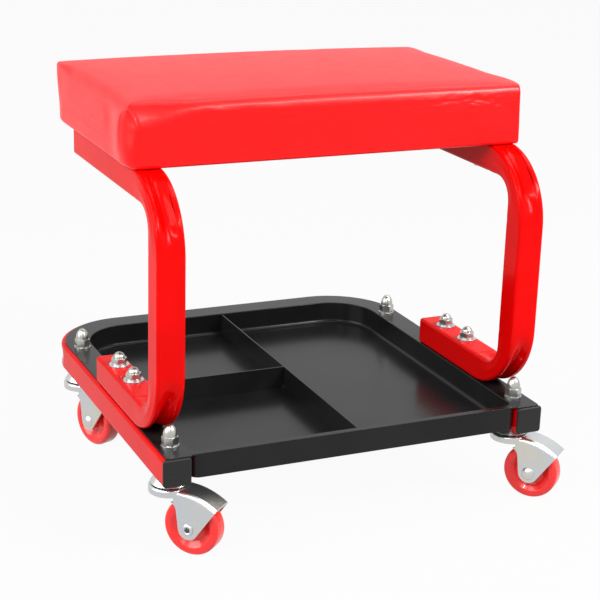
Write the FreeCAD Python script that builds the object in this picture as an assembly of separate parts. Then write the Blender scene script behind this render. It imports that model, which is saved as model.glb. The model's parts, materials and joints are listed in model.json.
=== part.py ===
import FreeCAD, Part
import math
import os

os.makedirs("parts", exist_ok=True)

# Rolling workshop seat with a tool tray. Millimetres, +Z up.
# The origin is on the floor under the middle of the base frame, and -Y is the open front.

# Square tube of the base frame and the seat arms
tube_size = 25.4
tube_wall = 1.5
tube_corner = 3.0
bend_outer_radius = 65.5
bend_inner_radius = 21.0
bend_steps = 10
bend_fade = 1.4
wall_points = 8
arm_crush = {"outer_dent": 7.0, "inner_dent": 3.5, "bulge": 0.8, "draw": 0.0}
base_crush = {"outer_dent": 9.0, "inner_dent": 2.0, "bulge": 0.0, "draw": 1.5}

# Base frame
base_width = 368.0
base_length = 369.0
arm_from_side = 13.5
stem_from_side = 15.2
stem_from_front = 27.4
stem_spacing = 261.3
plug_flange = 2.5
plug_depth = 14.0
plug_wall = 2.0
plug_edge_radius = 1.8
plug_clearance = 0.1

# Tool tray, pressed from one sheet
sheet = 1.2
tray_side_gap = 0.3
tray_rear_gap = 2.2
tray_depth = 22.0
tray_floor_radius = 5.0
tray_rear_radius = 47.0
tray_front_radius = 9.0
tray_rim_radius = 0.9
flange_inset = 3.0
flange_rear_radius = 70.0
flange_front_gap = 1.0
hem_front = 3.0
hem_width = 6.5
lip_drop = 22.0
lip_return = 16.0
short_divider_from_front = 174.5
divider_drop = 0.9

# Seat arms
arm_front = 19.0
arm_lower_end = 194.0
arm_upper_end = 258.5
arm_rise = 229.2
arm_plug_flange = 2.0
arm_bolt_from_front = 120.5
arm_bolt_spacing = 42.0
seat_bolt_from_front = 118.0
seat_bolt_spacing = 104.0

# Cushion
cushion_width = 375.0
cushion_depth = 229.0
cushion_front = 73.5
cushion_thickness = 56.2
cushion_crown = 4.0
cushion_corner = 14.0
cushion_draw_in = 2.0
cushion_tuck = 0.5
cushion_top_radius = 7.0
cushion_bottom_radius = 4.0
crown_steps = 8
crown_reach_share = 1.1
cover_sheet = 1.2
cover_margin = 32.0
foam_gap = 0.3
board_thickness = 12.0
staple_crown = 10.0
staple_wire = 1.1
staple_leg = 8.0
staple_from_edge = 21.0
staples_long_side = 9
staples_short_side = 5

# Screws and nuts
bolt_radius = 4.0
hole_clearance = 0.3
hex_flats = 13.0
hex_chamfer = 0.8
bolt_head_height = 5.3
washer_radius = 8.0
washer_sheet = 1.6
wide_washer_radius = 9.2
spring_washer_radius = 6.9
spring_washer_height = 1.8
spring_washer_split = 1.5
corner_nut_hex = 7.8
corner_nut_dome = 10.4
corner_dome_radius = 6.25
arm_nut_hex = 4.6
arm_nut_dome = 5.2
arm_dome_radius = 5.3
nut_tip_wall = 3.4
seat_bolt_radius = 3.0
seat_bolt_flats = 10.0
seat_bolt_head = 2.2
seat_washer_radius = 7.0
seat_washer_sheet = 1.0
tee_nut_radius = 9.5
tee_nut_sheet = 1.2
tee_barrel_radius = 4.2
tee_barrel_depth = 9.0

# Casters
wheel_radius = 25.8
wheel_width = 16.0
wheel_rim = 6.6
wheel_recess = 4.2
wheel_dish_run = 5.0
wheel_edge_radius = 1.8
tread_edge_radius = 3.0
hub_radius = 8.5
hub_gap = 0.3
axle_drop = 41.4
trail = 24.2
headings = {
    "front_left": -48.0,
    "front_right": -50.5,
    "rear_left": -69.0,
    "rear_right": -38.0,
}
reversed_axles = ["front_left"]
race_top_radius = 13.5
race_radius = 17.2
race_drop = 5.6
race_sheet = 1.5
fork_sheet = 2.0
fork_top_drop = 7.0
cup_radius = 18.6
cup_depth = 6.8
cup_edge_radius = 2.6
fork_half_width = 13.0
fork_edge_radius = 4.0
fork_reach = 50.0
roof_flat = 15.0
roof_fall_degrees = 35.0
roof_step = 0.8
tip_height = 1.5
plate_foot_radius = 9.3
plate_waist_from_stem = 12.4
plate_waist_drop = 21.8
plate_waist_radius = 8.0
roof_overrun_share = 0.35
ball_radius = 3.0
ball_ring_radius = 11.2
ball_spacing_gap = 0.5
running_clearance = 0.05
pin_radius = 5.0
pin_head_radius = 8.5
pin_head_height = 3.0
pin_end_play = 0.2
stem_thread_top_gap = 0.5
rivet_radius = 3.0
rivet_head_radius = 6.1
rivet_head_height = 2.6
peen_radius = 5.3
peen_height = 1.4
peen_bore_radius = 2.4
peen_shares = [(1, 0), (0.95, 0.55), (0.78, 0.95), (0.62, 1), (0.47, 0.7)]
bush_radius = 5.0
bush_end_play = 0.1

overrun = 5.0
half_turn = math.pi
full_circle = 360.0

# Levels and places that follow from the sizes above
tube_middle = tube_size / 2
base_height = axle_drop + wheel_radius
base_top = base_height + tube_size
flange_top = base_top + sheet
tray_floor_top = flange_top - tray_depth
arm_bottom = flange_top
arm_top = arm_bottom + arm_rise
seat_bottom = arm_top
front = -base_length / 2
rail_x = base_width / 2 - tube_middle
arm_x = base_width / 2 - arm_from_side
stem_x = base_width / 2 - stem_from_side
stem_y = [front + stem_from_front, front + stem_from_front + stem_spacing]
arm_bolt_y = [front + arm_bolt_from_front, front + arm_bolt_from_front + arm_bolt_spacing]
seat_bolt_y = [front + seat_bolt_from_front, front + seat_bolt_from_front + seat_bolt_spacing]
stem_places = [(side * stem_x, y) for side in (-1, 1) for y in stem_y]
arm_bolt_places = [(side * arm_x, y) for side in (-1, 1) for y in arm_bolt_y]
seat_bolt_places = [(side * arm_x, y) for side in (-1, 1) for y in seat_bolt_y]
bend_reach = bend_outer_radius - tube_middle
pan_half_width = base_width / 2 - tube_size - tray_side_gap
pan_front = front + hem_front + hem_width
pan_rear = front + base_length - tube_size - tray_rear_gap
lip_bottom = flange_top - lip_drop
bolt_hole = bolt_radius + hole_clearance
seat_bolt_hole = seat_bolt_radius + hole_clearance


def vector(x, y, z):
    return FreeCAD.Vector(x, y, z)


along_x = vector(1, 0, 0)
along_y = vector(0, 1, 0)
up = vector(0, 0, 1)


def rounded_outline(corners, place):
    # Closed wire through corners (a, b, radius), each rounded by an arc tangent to both sides.
    edges = []
    ends = []
    count = len(corners)
    for number in range(count):
        a, b, radius = corners[number]
        here = vector(a, b, 0)
        before = vector(corners[number - 1][0], corners[number - 1][1], 0)
        after = vector(corners[(number + 1) % count][0], corners[(number + 1) % count][1], 0)
        if radius == 0:
            ends.append((here, here, here))
            continue
        back = (before - here).normalize()
        on = (after - here).normalize()
        half_angle = back.getAngle(on) / 2
        cut = radius / math.tan(half_angle)
        middle = (back + on).normalize()
        centre = here + middle * (radius / math.sin(half_angle))
        ends.append((here + back * cut, centre - middle * radius, here + on * cut))
    for number in range(count):
        start, middle, end = [place(point.x, point.y) for point in ends[number]]
        following = place(ends[(number + 1) % count][0].x, ends[(number + 1) % count][0].y)
        if corners[number][2] > 0:
            edges.append(Part.Arc(start, middle, end).toShape())
        if end.distanceToPoint(following) > 0:
            edges.append(Part.LineSegment(end, following).toShape())
    return Part.Wire(edges)


def plan(corners, bottom, height):
    # Upright prism on a rounded outline in plan.
    wire = rounded_outline(corners, lambda a, b: vector(a, b, bottom))
    return Part.Face(wire).extrude(up * height)


def rectangle(half_width, near, far, near_radius, far_radius):
    return [
        (-half_width, near, near_radius),
        (half_width, near, near_radius),
        (half_width, far, far_radius),
        (-half_width, far, far_radius),
    ]


def rod(x, y, bottom, top, radius):
    return Part.makeCylinder(radius, top - bottom, vector(x, y, bottom), up)


def ring(x, y, bottom, height, outer, inner):
    return rod(x, y, bottom, bottom + height, outer).cut(rod(x, y, bottom, bottom + height, inner))


def turned(profile):
    # Solid of revolution about Z from (radius, height) points.
    points = [vector(radius, 0, height) for radius, height in profile]
    return Part.Face(Part.makePolygon(points + points[:1])).revolve(vector(0, 0, 0), up, full_circle)


def edges_near(shape, test):
    return [edge for edge in shape.Edges if test(edge.BoundBox)]


def write(name, shapes):
    solids = [solid for shape in shapes for solid in shape.Solids]
    result = solids[0] if len(solids) == 1 else Part.Compound(solids)
    if not result.isValid():
        print("not valid:", name)
    result.exportStep("parts/" + name + ".step")
    print(name, len(solids), round(result.Volume))


# Square tube, bent along legs that turn by a right angle

def wall(start, end, inward, depth):
    if depth == 0:
        return Part.LineSegment(start, end).toShape()
    points = []
    for step in range(wall_points + 1):
        share = step / wall_points
        hollow = depth * (1 - math.cos(2 * half_turn * share)) / 2
        points.append(start + (end - start) * share + inward * hollow)
    curve = Part.BSplineCurve()
    curve.interpolate(Points=points, InitialTangent=end - start, FinalTangent=end - start)
    return curve.toShape()


def tube_section(centre, outward, across, low, high, inset, swell, crush):
    # Section in the plane of outward and across; swell runs from 0 on a leg to 1 in mid bend.
    half = tube_size / 2 - inset
    corner = tube_corner - inset
    slack = corner * (1 - math.sqrt(0.5))
    high -= crush["draw"] * swell
    walls = [
        (outward * -1, crush["outer_dent"] * swell), (across, crush["bulge"] * swell),
        (outward, crush["inner_dent"] * swell), (across * -1, crush["bulge"] * swell),
    ]
    points = [
        (high, corner - half), (high, half - corner), (high - slack, half - slack), (high - corner, half),
        (low + corner, half), (low + slack, half - slack), (low, half - corner),
        (low, corner - half), (low + slack, slack - half), (low + corner, -half),
        (high - corner, -half), (high - slack, slack - half),
    ]
    points = [centre + outward * a + across * b for a, b in points]
    edges = []
    for number, (inward, depth) in enumerate(walls):
        start, end, middle = [points[(3 * number + step) % len(points)] for step in range(3)]
        following = points[(3 * number + 3) % len(points)]
        edges.append(wall(start, end, inward, depth))
        edges.append(Part.Arc(end, middle, following).toShape())
    return Part.Wire(edges)


def inner_reach(angle, inset):
    # From the outer wall's centre to the inner wall, which turns on a smaller arc of its own.
    leg = bend_outer_radius - tube_size + inset
    offset = bend_outer_radius - tube_size - bend_inner_radius
    radius = leg - offset
    steep = max(math.cos(angle), math.sin(angle))
    shallow = min(math.cos(angle), math.sin(angle))
    if leg * shallow / steep <= offset:
        return leg / steep
    total = steep + shallow
    return offset * total + math.sqrt(radius ** 2 - offset ** 2 * (2 - total ** 2))


def bend(corner, along, onward, across, inset, crush):
    centre = corner - (along - onward) * bend_reach
    sections = []
    for step in range(bend_steps + 1):
        angle = half_turn / 2 * step / bend_steps
        outward = onward * -math.cos(angle) + along * math.sin(angle)
        swell = math.sin(2 * angle) ** bend_fade if 0 < step < bend_steps else 0
        low = inner_reach(angle, inset)
        high = bend_outer_radius - inset
        sections.append(tube_section(centre, outward, across, low, high, inset, swell, crush))
    return Part.makeLoft(sections, True, False)


def leg(start, end, outward, across, inset, crush):
    half = tube_size / 2 - inset
    section = tube_section(start, outward, across, -half, half, inset, 0, crush)
    return Part.Face(section).extrude(end - start)


def tube_skin(corners, across, inset, crush):
    pieces = []
    start = corners[0]
    for before, corner, after in zip(corners, corners[1:], corners[2:]):
        along = (corner - before).normalize()
        onward = (after - corner).normalize()
        pieces.append(leg(start, corner - along * bend_reach, onward * -1, across, inset, crush))
        pieces.append(bend(corner, along, onward, across, inset, crush))
        start = corner + onward * bend_reach
        outward = along
    pieces.append(leg(start, corners[-1], outward, across, inset, crush))
    return pieces[0].fuse(pieces[1:])


def bent_tube(corners, across, crush):
    return tube_skin(corners, across, 0, crush).cut(tube_skin(corners, across, tube_wall, crush))


def end_plug(face_centre, outward, across, flange):
    # Square plug: a flange as large as the tube and a hollow spigot inside it.
    upright = outward.cross(across)
    half = tube_size / 2

    def block(size, radius, start, depth):
        origin = face_centre - outward * start
        corners = rectangle(size, -size, size, radius, radius)
        wire = rounded_outline(corners, lambda a, b: origin + across * a + upright * b)
        return Part.Face(wire).extrude(outward * -depth)

    cap = block(half, tube_corner, 0, flange)
    face_edges = [
        edge for edge in cap.Edges
        if abs((edge.CenterOfMass - face_centre).dot(outward)) < flange / 2
    ]
    rim = [edge for edge in face_edges if edge.BoundBox.DiagonalLength < 2 * tube_size
           and abs((edge.Vertexes[0].Point - edge.Vertexes[-1].Point).dot(outward)) < flange / 2]
    cap = cap.makeFillet(plug_edge_radius, rim)
    spigot_half = half - tube_wall - plug_clearance
    spigot = block(spigot_half, tube_corner - tube_wall, flange, plug_depth)
    hollow = block(spigot_half - plug_wall, tube_corner - tube_wall, flange, plug_depth)
    return cap.fuse(spigot.cut(hollow)).removeSplitter()


# Base frame

base_left = -base_width / 2 + tube_middle
base_level = base_height + tube_middle
tube_front = front + plug_flange
rear_line = front + base_length - tube_middle
base_frame = bent_tube(
    [
        vector(base_left, tube_front, base_level),
        vector(base_left, rear_line, base_level),
        vector(-base_left, rear_line, base_level),
        vector(-base_left, tube_front, base_level),
    ],
    up, base_crush,
)
for x, y in stem_places + arm_bolt_places:
    base_frame = base_frame.cut(rod(x, y, base_height - overrun, base_top + overrun, bolt_hole))
write("base_frame", [base_frame])
for name, side in (("left", -1), ("right", 1)):
    plug = end_plug(vector(side * rail_x, front, base_level), along_y * -1, along_x, plug_flange)
    write("frame_plug_" + name, [plug])


# Tool tray

def pan(inset, bottom, top, rear_radius, front_radius, floor_radius):
    corners = rectangle(pan_half_width - inset, pan_front - sheet + inset, pan_rear + sheet - inset,
                        front_radius, rear_radius)
    body = plan(corners, bottom, top - bottom)
    rim = edges_near(body, lambda box: box.ZMax < bottom + floor_radius)
    return body.makeFillet(floor_radius, rim)


pan_bottom = tray_floor_top - sheet
pan_outer = pan(0, pan_bottom, flange_top, tray_rear_radius + sheet, tray_front_radius, tray_floor_radius)
pan_inner = pan(sheet, tray_floor_top, flange_top + overrun, tray_rear_radius, tray_front_radius - sheet,
                tray_floor_radius - sheet)
flange_half = base_width / 2 - flange_inset
flange = plan(
    rectangle(flange_half, front + flange_front_gap, front + base_length - flange_inset,
              tube_corner, flange_rear_radius),
    base_top, sheet,
)
hem_line = front + hem_front
lip_end = pan_front + lip_return
notch = plan(
    rectangle(pan_half_width, front - overrun, hem_line, 0, 0),
    base_top - overrun, sheet + 2 * overrun,
)
front_block = plan(
    rectangle(pan_half_width, hem_line, lip_end, tray_front_radius, 0),
    lip_bottom, lip_drop,
)
front_hollow = plan(
    rectangle(pan_half_width - sheet, hem_line + sheet, lip_end, tray_front_radius - sheet, 0),
    lip_bottom - overrun, lip_drop + overrun - sheet,
)
tray = flange.cut(notch).fuse([front_block.cut(front_hollow), pan_outer]).cut(pan_inner).removeSplitter()
for x, y in stem_places + arm_bolt_places:
    tray = tray.cut(rod(x, y, base_top - overrun, flange_top + overrun, bolt_hole))
rim_edges = edges_near(
    tray,
    lambda box: box.ZMin > flange_top - sheet / 2 and box.XMax < pan_half_width
    and box.XMin > -pan_half_width and box.YMin > pan_front - sheet / 2 and box.YMax < pan_rear + sheet / 2,
)
tray = tray.makeFillet(tray_rim_radius, rim_edges)
write("tool_tray", [tray])


def divider(start, end, level_along):
    # Upright sheet between two walls, its lower corners rounded to clear the floor's fillet.
    top = flange_top - divider_drop
    radius = tray_floor_radius - sheet
    middle = (start + end) / 2
    half = start.distanceToPoint(end) / 2
    across = level_along.cross(up)
    corners = [
        (-half, tray_floor_top, radius), (half, tray_floor_top, radius), (half, top, 0), (-half, top, 0),
    ]
    origin = middle - across * (sheet / 2)
    wire = rounded_outline(corners, lambda a, b: origin + level_along * a + up * b)
    return Part.Face(wire).extrude(across * sheet)


short_divider_y = front + short_divider_from_front
write("tray_divider_long", [divider(vector(0, pan_front, 0), vector(0, pan_rear, 0), along_y)])
write("tray_divider_short", [divider(vector(-pan_half_width + sheet, short_divider_y, 0),
                                     vector(-sheet / 2, short_divider_y, 0), along_x)])


# Seat arms

arm_lower_level = arm_bottom + tube_middle
arm_upper_level = arm_top - tube_middle
arm_leg_top = arm_bottom + tube_size
arm_column_y = front + arm_front + tube_middle
lower_end_y = front + arm_lower_end
upper_end_y = front + arm_upper_end
for name, side in (("left", -1), ("right", 1)):
    x = side * arm_x
    arm = bent_tube(
        [
            vector(x, lower_end_y - arm_plug_flange, arm_lower_level),
            vector(x, arm_column_y, arm_lower_level),
            vector(x, arm_column_y, arm_upper_level),
            vector(x, upper_end_y - arm_plug_flange, arm_upper_level),
        ],
        along_x, arm_crush,
    )
    for y in arm_bolt_y:
        arm = arm.cut(rod(x, y, arm_bottom - overrun, arm_leg_top + overrun, bolt_hole))
    for y in seat_bolt_y:
        arm = arm.cut(rod(x, y, arm_top - tube_size - overrun, arm_top + overrun, seat_bolt_hole))
    write(name + "_seat_arm", [arm])
    write(name + "_arm_lower_plug",
          [end_plug(vector(x, lower_end_y, arm_lower_level), along_y, along_x, arm_plug_flange)])
    write(name + "_arm_upper_plug",
          [end_plug(vector(x, upper_end_y, arm_upper_level), along_y, along_x, arm_plug_flange)])


# Screws, nuts and washers

def hex_prism(flats, bottom, height, chamfer_below, chamfer_above):
    # Six-sided head about the Z axis, its corners turned off where asked.
    corner_radius = flats / math.sqrt(3)
    points = []
    for side in range(6):
        angle = half_turn * side / 3
        points.append(vector(corner_radius * math.cos(angle), corner_radius * math.sin(angle), bottom))
    body = Part.Face(Part.makePolygon(points + points[:1])).extrude(up * height)
    low = flats / 2 if chamfer_below else corner_radius
    high = flats / 2 if chamfer_above else corner_radius
    rise = hex_chamfer
    envelope = turned([
        (0, bottom), (low, bottom), (corner_radius, bottom + rise), (corner_radius, bottom + height - rise),
        (high, bottom + height), (0, bottom + height),
    ])
    return body.common(envelope)


def acorn_nut(hex_height, dome_height, dome_radius, thread_radius, bottom):
    # Hexagon with an elliptical dome and a blind thread.
    top = bottom + hex_height
    points = []
    for step in range(wall_points + 1):
        angle = half_turn / 2 * step / wall_points
        points.append(vector(dome_radius * math.cos(angle), 0, top + dome_height * math.sin(angle)))
    curve = Part.BSplineCurve()
    curve.interpolate(Points=points, InitialTangent=up, FinalTangent=along_x * -1)
    outline = Part.Wire([
        curve.toShape(),
        Part.LineSegment(points[-1], vector(0, 0, top)).toShape(),
        Part.LineSegment(vector(0, 0, top), points[0]).toShape(),
    ])
    dome = Part.Face(outline).revolve(vector(0, 0, 0), up, full_circle)
    body = hex_prism(hex_flats, bottom, hex_height, True, True).fuse(dome)
    return body.cut(rod(0, 0, bottom - overrun, top + dome_height - nut_tip_wall, thread_radius))


def hex_bolt(flats, head, radius, seat, tip):
    # Hex head below the seat, shank up to the tip.
    return hex_prism(flats, seat - head, head, True, False).fuse(rod(0, 0, seat, tip, radius))


def spring_washer(bottom):
    washer = ring(0, 0, bottom, spring_washer_height, spring_washer_radius, bolt_hole)
    gap = Part.makeBox(spring_washer_radius + overrun, spring_washer_split, spring_washer_height,
                       vector(0, -spring_washer_split / 2, bottom))
    return washer.cut(gap)


def copies(shape, places, turn=0):
    result = []
    for x, y in places:
        copy = shape.copy()
        copy.rotate(vector(0, 0, 0), up, turn)
        copy.translate(vector(x, y, 0))
        result.append(copy)
    return result


corner_nut_bottom = flange_top + washer_sheet
arm_nut_bottom = arm_leg_top + washer_sheet + spring_washer_height
arm_nut_tip = arm_nut_bottom + arm_nut_hex + arm_nut_dome

washer = ring(0, 0, flange_top, washer_sheet, washer_radius, bolt_hole)
write("corner_washers", copies(washer, stem_places))
nut = acorn_nut(corner_nut_hex, corner_nut_dome, corner_dome_radius, bolt_radius, corner_nut_bottom)
write("corner_acorn_nuts", copies(nut, stem_places, full_circle / 12))

lower_washer = ring(0, 0, base_height - washer_sheet, washer_sheet, washer_radius, bolt_hole)
write("arm_bolt_washers", copies(lower_washer, arm_bolt_places))
arm_bolt = hex_bolt(hex_flats, bolt_head_height, bolt_radius, base_height - washer_sheet,
                    arm_nut_tip - nut_tip_wall - stem_thread_top_gap)
write("arm_bolts", copies(arm_bolt, arm_bolt_places))
flat_washer = ring(0, 0, arm_leg_top, washer_sheet, wide_washer_radius, bolt_hole)
write("arm_flat_washers", copies(flat_washer, arm_bolt_places))
write("arm_spring_washers", copies(spring_washer(arm_leg_top + washer_sheet), arm_bolt_places))
arm_nut = acorn_nut(arm_nut_hex, arm_nut_dome, arm_dome_radius, bolt_radius, arm_nut_bottom)
write("arm_acorn_nuts", copies(arm_nut, arm_bolt_places))


# Cushion

cushion_middle = front + cushion_front + cushion_depth / 2


def above_crown(half_x, half_y, level):
    # All that lies above the domed top, which keeps the same level along its four edges.
    rows = []
    shares = [crown_reach_share * (2 * step / crown_steps - 1) for step in range(crown_steps + 1)]
    for across in shares:
        row = []
        for along in shares:
            rise = cushion_crown * (1 - across ** 2) * (1 - along ** 2)
            row.append(vector(across * half_x, cushion_middle + along * half_y, level + rise))
        rows.append(row)
    surface = Part.BSplineSurface()
    surface.interpolate(rows)
    return surface.toShape().extrude(up * cushion_thickness)


def cushion_form(inset):
    # Padded block with drawn-in sides, a tucked foot and a crown; inset shrinks it evenly.
    half_x = cushion_width / 2 - inset
    half_y = cushion_depth / 2 - inset
    bottom = seat_bottom + inset
    edge_top = seat_bottom + cushion_thickness + cushion_crown - inset
    corner = cushion_corner - inset
    slack = corner * (1 - math.sqrt(0.5))

    def outline(level, tuck):
        x = half_x - tuck
        y = half_y - tuck
        edges = []
        turns = [(1, -1), (1, 1), (-1, 1), (-1, -1)]
        for number, (sx, sy) in enumerate(turns):
            nx, ny = turns[(number + 1) % 4]
            level_start = vector(sx * x, sy * (y - corner), level)
            arc_middle = vector(sx * (x - slack), sy * (y - slack), level)
            level_end = vector(sx * (x - corner), sy * y, level)
            if number % 2 == 0:
                level_start, level_end = level_end, level_start
            edges.append(Part.Arc(level_start, arc_middle, level_end).toShape())
            if number % 2 == 0:
                side_end = vector(nx * x, ny * (y - corner), level)
                hollow = vector(sx * (x - cushion_draw_in), 0, level)
            else:
                side_end = vector(nx * (x - corner), ny * y, level)
                hollow = vector(0, sy * (y - cushion_draw_in), level)
            edges.append(Part.Arc(level_end, hollow, side_end).toShape())
        wire = Part.Wire(edges)
        wire.translate(vector(0, cushion_middle, 0))
        return wire

    height = edge_top - bottom
    body = Part.makeLoft([outline(bottom, cushion_tuck), outline(bottom + height / 2, 0),
                          outline(edge_top, cushion_tuck / 2)], True, False)
    body = body.cut(above_crown(half_x, half_y, edge_top - cushion_crown))
    top_level = seat_bottom + cushion_thickness / 2
    top_edges = [edge for edge in body.Edges if edge.BoundBox.ZMin > top_level]
    body = body.makeFillet(cushion_top_radius - inset, top_edges)
    low_edges = [edge for edge in body.Edges if edge.BoundBox.ZMax < bottom + cushion_bottom_radius / 2]
    return body.makeFillet(cushion_bottom_radius - inset, low_edges)


def slab(bottom, top):
    half_x = cushion_width / 2 + overrun
    half_y = cushion_depth / 2 + overrun
    near = vector(-half_x, cushion_middle - half_y, bottom)
    return Part.makeBox(2 * half_x, 2 * half_y, top - bottom, near)


def staple_places():
    # Middle of each staple and whether it lies along Y.
    half_x = cushion_width / 2 - staple_from_edge
    half_y = cushion_depth / 2 - staple_from_edge
    places = []
    for side in (-1, 1):
        for number in range(staples_long_side):
            x = half_x * (2 * (number + 0.5) / staples_long_side - 1)
            places.append((x, cushion_middle + side * half_y, False))
        for number in range(staples_short_side):
            y = half_y * (2 * (number + 0.5) / staples_short_side - 1)
            places.append((side * half_x, cushion_middle + y, True))
    return places


def staple(x, y, along):
    half = staple_crown / 2
    wire = staple_wire / 2
    below = vector(-half, -wire, seat_bottom - staple_wire)
    crown = Part.makeBox(staple_crown, staple_wire, staple_wire, below)
    legs = [
        Part.makeBox(staple_wire, staple_wire, staple_leg, vector(start, -wire, seat_bottom))
        for start in (-half, half - staple_wire)
    ]
    shape = crown.fuse(legs).removeSplitter()
    shape.rotate(vector(0, 0, 0), up, full_circle / 4 if along else 0)
    shape.translate(vector(x, y, 0))
    return shape


staples = []
for x, y, along in staple_places():
    over_arm = abs(abs(x) - arm_x) < tube_middle + staple_crown and y < upper_end_y + staple_crown
    if not over_arm:
        staples.append(staple(x, y, along))

board_bottom = seat_bottom + cover_sheet
board_top = board_bottom + board_thickness
padding = cushion_form(cover_sheet + foam_gap)
board = padding.common(slab(seat_bottom, board_top))
foam = padding.common(slab(board_top, seat_bottom + 2 * cushion_thickness))
tee_nut_hole = tee_nut_radius + foam_gap
mouth = plan(
    rectangle(cushion_width / 2 - cover_margin, cushion_middle - cushion_depth / 2 + cover_margin,
              cushion_middle + cushion_depth / 2 - cover_margin, cushion_corner, cushion_corner),
    seat_bottom - overrun, cover_sheet + foam_gap + 2 * overrun,
)
mouth = mouth.common(slab(seat_bottom - overrun, board_bottom + foam_gap))
cover = cushion_form(0).cut(cushion_form(cover_sheet)).cut(mouth)
for x, y in seat_bolt_places:
    cover = cover.cut(rod(x, y, seat_bottom - overrun, board_bottom + overrun, seat_bolt_hole))
    board = board.cut(rod(x, y, board_bottom - overrun, board_top + overrun, seat_bolt_hole))
    board = board.cut(rod(x, y, board_top - tee_barrel_depth, board_top + overrun, tee_barrel_radius))
    foam = foam.cut(rod(x, y, board_top - overrun, board_top + tee_nut_sheet + foam_gap, tee_nut_hole))
cover = cover.cut(staples)
board = board.cut(staples)
write("seat_cover", [cover])
write("seat_foam", [foam])
write("seat_board", [board])
write("seat_staples", staples)

tee_plate = ring(0, 0, board_top, tee_nut_sheet, tee_nut_radius, seat_bolt_radius)
tee_barrel = ring(0, 0, board_top - tee_barrel_depth, tee_barrel_depth, tee_barrel_radius, seat_bolt_radius)
tee_nut = tee_plate.fuse(tee_barrel).removeSplitter()
write("seat_tee_nuts", copies(tee_nut, seat_bolt_places))
seat_bolt_seat = arm_top - tube_size - seat_washer_sheet
seat_washer = ring(0, 0, seat_bolt_seat, seat_washer_sheet, seat_washer_radius, seat_bolt_hole)
write("seat_bolt_washers", copies(seat_washer, seat_bolt_places))
seat_bolt_tip = board_top + tee_nut_sheet
seat_bolt = hex_bolt(seat_bolt_flats, seat_bolt_head, seat_bolt_radius, seat_bolt_seat, seat_bolt_tip)
write("seat_bolts", copies(seat_bolt, seat_bolt_places))


# Casters, made with the stem on the Z axis, the tube's underside at height 0 and the trail along +X

fork_top = -fork_top_drop
fork_inside = fork_half_width - fork_sheet
bush_length = 2 * (fork_inside - bush_end_play)


def caster_stem():
    head_top = fork_top - fork_sheet - pin_end_play
    thread_top = tube_size + sheet + washer_sheet + corner_nut_hex + corner_nut_dome - nut_tip_wall
    thread_top -= stem_thread_top_gap
    return turned([
        (0, head_top - pin_head_height), (pin_head_radius / 2, head_top - pin_head_height),
        (pin_head_radius, head_top - pin_head_height / 3), (pin_head_radius, head_top),
        (pin_radius, head_top), (pin_radius, -race_sheet), (bolt_radius, -race_sheet),
        (bolt_radius, thread_top - hex_chamfer), (bolt_radius - hex_chamfer, thread_top), (0, thread_top),
    ])


def caster_race():
    slope = (race_radius - race_top_radius) / race_drop
    return turned([
        (bolt_radius, 0), (race_top_radius, 0), (race_radius, -race_drop),
        (race_radius - race_sheet, -race_drop),
        (race_top_radius - race_sheet + slope * race_sheet, -race_sheet),
        (bolt_radius, -race_sheet),
    ])


def ball_level():
    return -race_sheet - running_clearance - ball_radius


def caster_balls():
    count = int(2 * half_turn * ball_ring_radius / (2 * ball_radius + ball_spacing_gap))
    balls = []
    for number in range(count):
        angle = 2 * half_turn * number / count
        across = vector(math.cos(angle), math.sin(angle), 0)
        balls.append(Part.makeSphere(ball_radius, across * ball_ring_radius + up * ball_level()))
    return balls


def side_profile(corners, half_width):
    # Prism across the wheel on a rounded outline in the side view.
    wire = rounded_outline(corners, lambda a, b: vector(a, -half_width, b))
    return Part.Face(wire).extrude(along_y * (2 * half_width))


def channel(sheet_in, half_width, floor, share, edge_radius):
    # Body below the roof line, which is flat over the cup and then falls on an arc.
    fall = math.radians(roof_fall_degrees)
    full_radius = (fork_reach - roof_flat) / math.sin(fall)
    radius = full_radius - sheet_in
    centre = vector(roof_flat, -half_width, fork_top - roof_step - full_radius)
    angles = [0, fall * share / 2, fall * share]
    points = [centre + vector(radius * math.sin(angle), 0, radius * math.cos(angle)) for angle in angles]
    back = vector(0, -half_width, points[0].z)
    feet = [vector(points[-1].x, -half_width, floor), vector(0, -half_width, floor)]
    outline = Part.Wire([
        Part.LineSegment(back, points[0]).toShape(),
        Part.Arc(*points).toShape(),
        Part.LineSegment(points[-1], feet[0]).toShape(),
        Part.LineSegment(feet[0], feet[1]).toShape(),
        Part.LineSegment(feet[1], back).toShape(),
    ])
    body = Part.Face(outline).extrude(along_y * (2 * half_width))
    ridges = edges_near(
        body,
        lambda box: box.ZMin > floor + edge_radius and box.YLength < edge_radius
        and box.XLength > roof_flat / 2,
    )
    return body.makeFillet(edge_radius, ridges), points[-1]


def meeting_point(before, centre, radius, after):
    # Where the lines from two points, both touching the same circle, cross beyond it.
    rays = []
    for point, side in ((before, 1), (after, -1)):
        offset = centre - point
        angle = math.atan2(offset.y, offset.x) - side * math.asin(radius / offset.Length)
        rays.append(vector(math.cos(angle), math.sin(angle), 0))
    gap = after - before
    travel = gap.cross(rays[1]).z / rays[0].cross(rays[1]).z
    return before + rays[0] * travel


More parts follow.
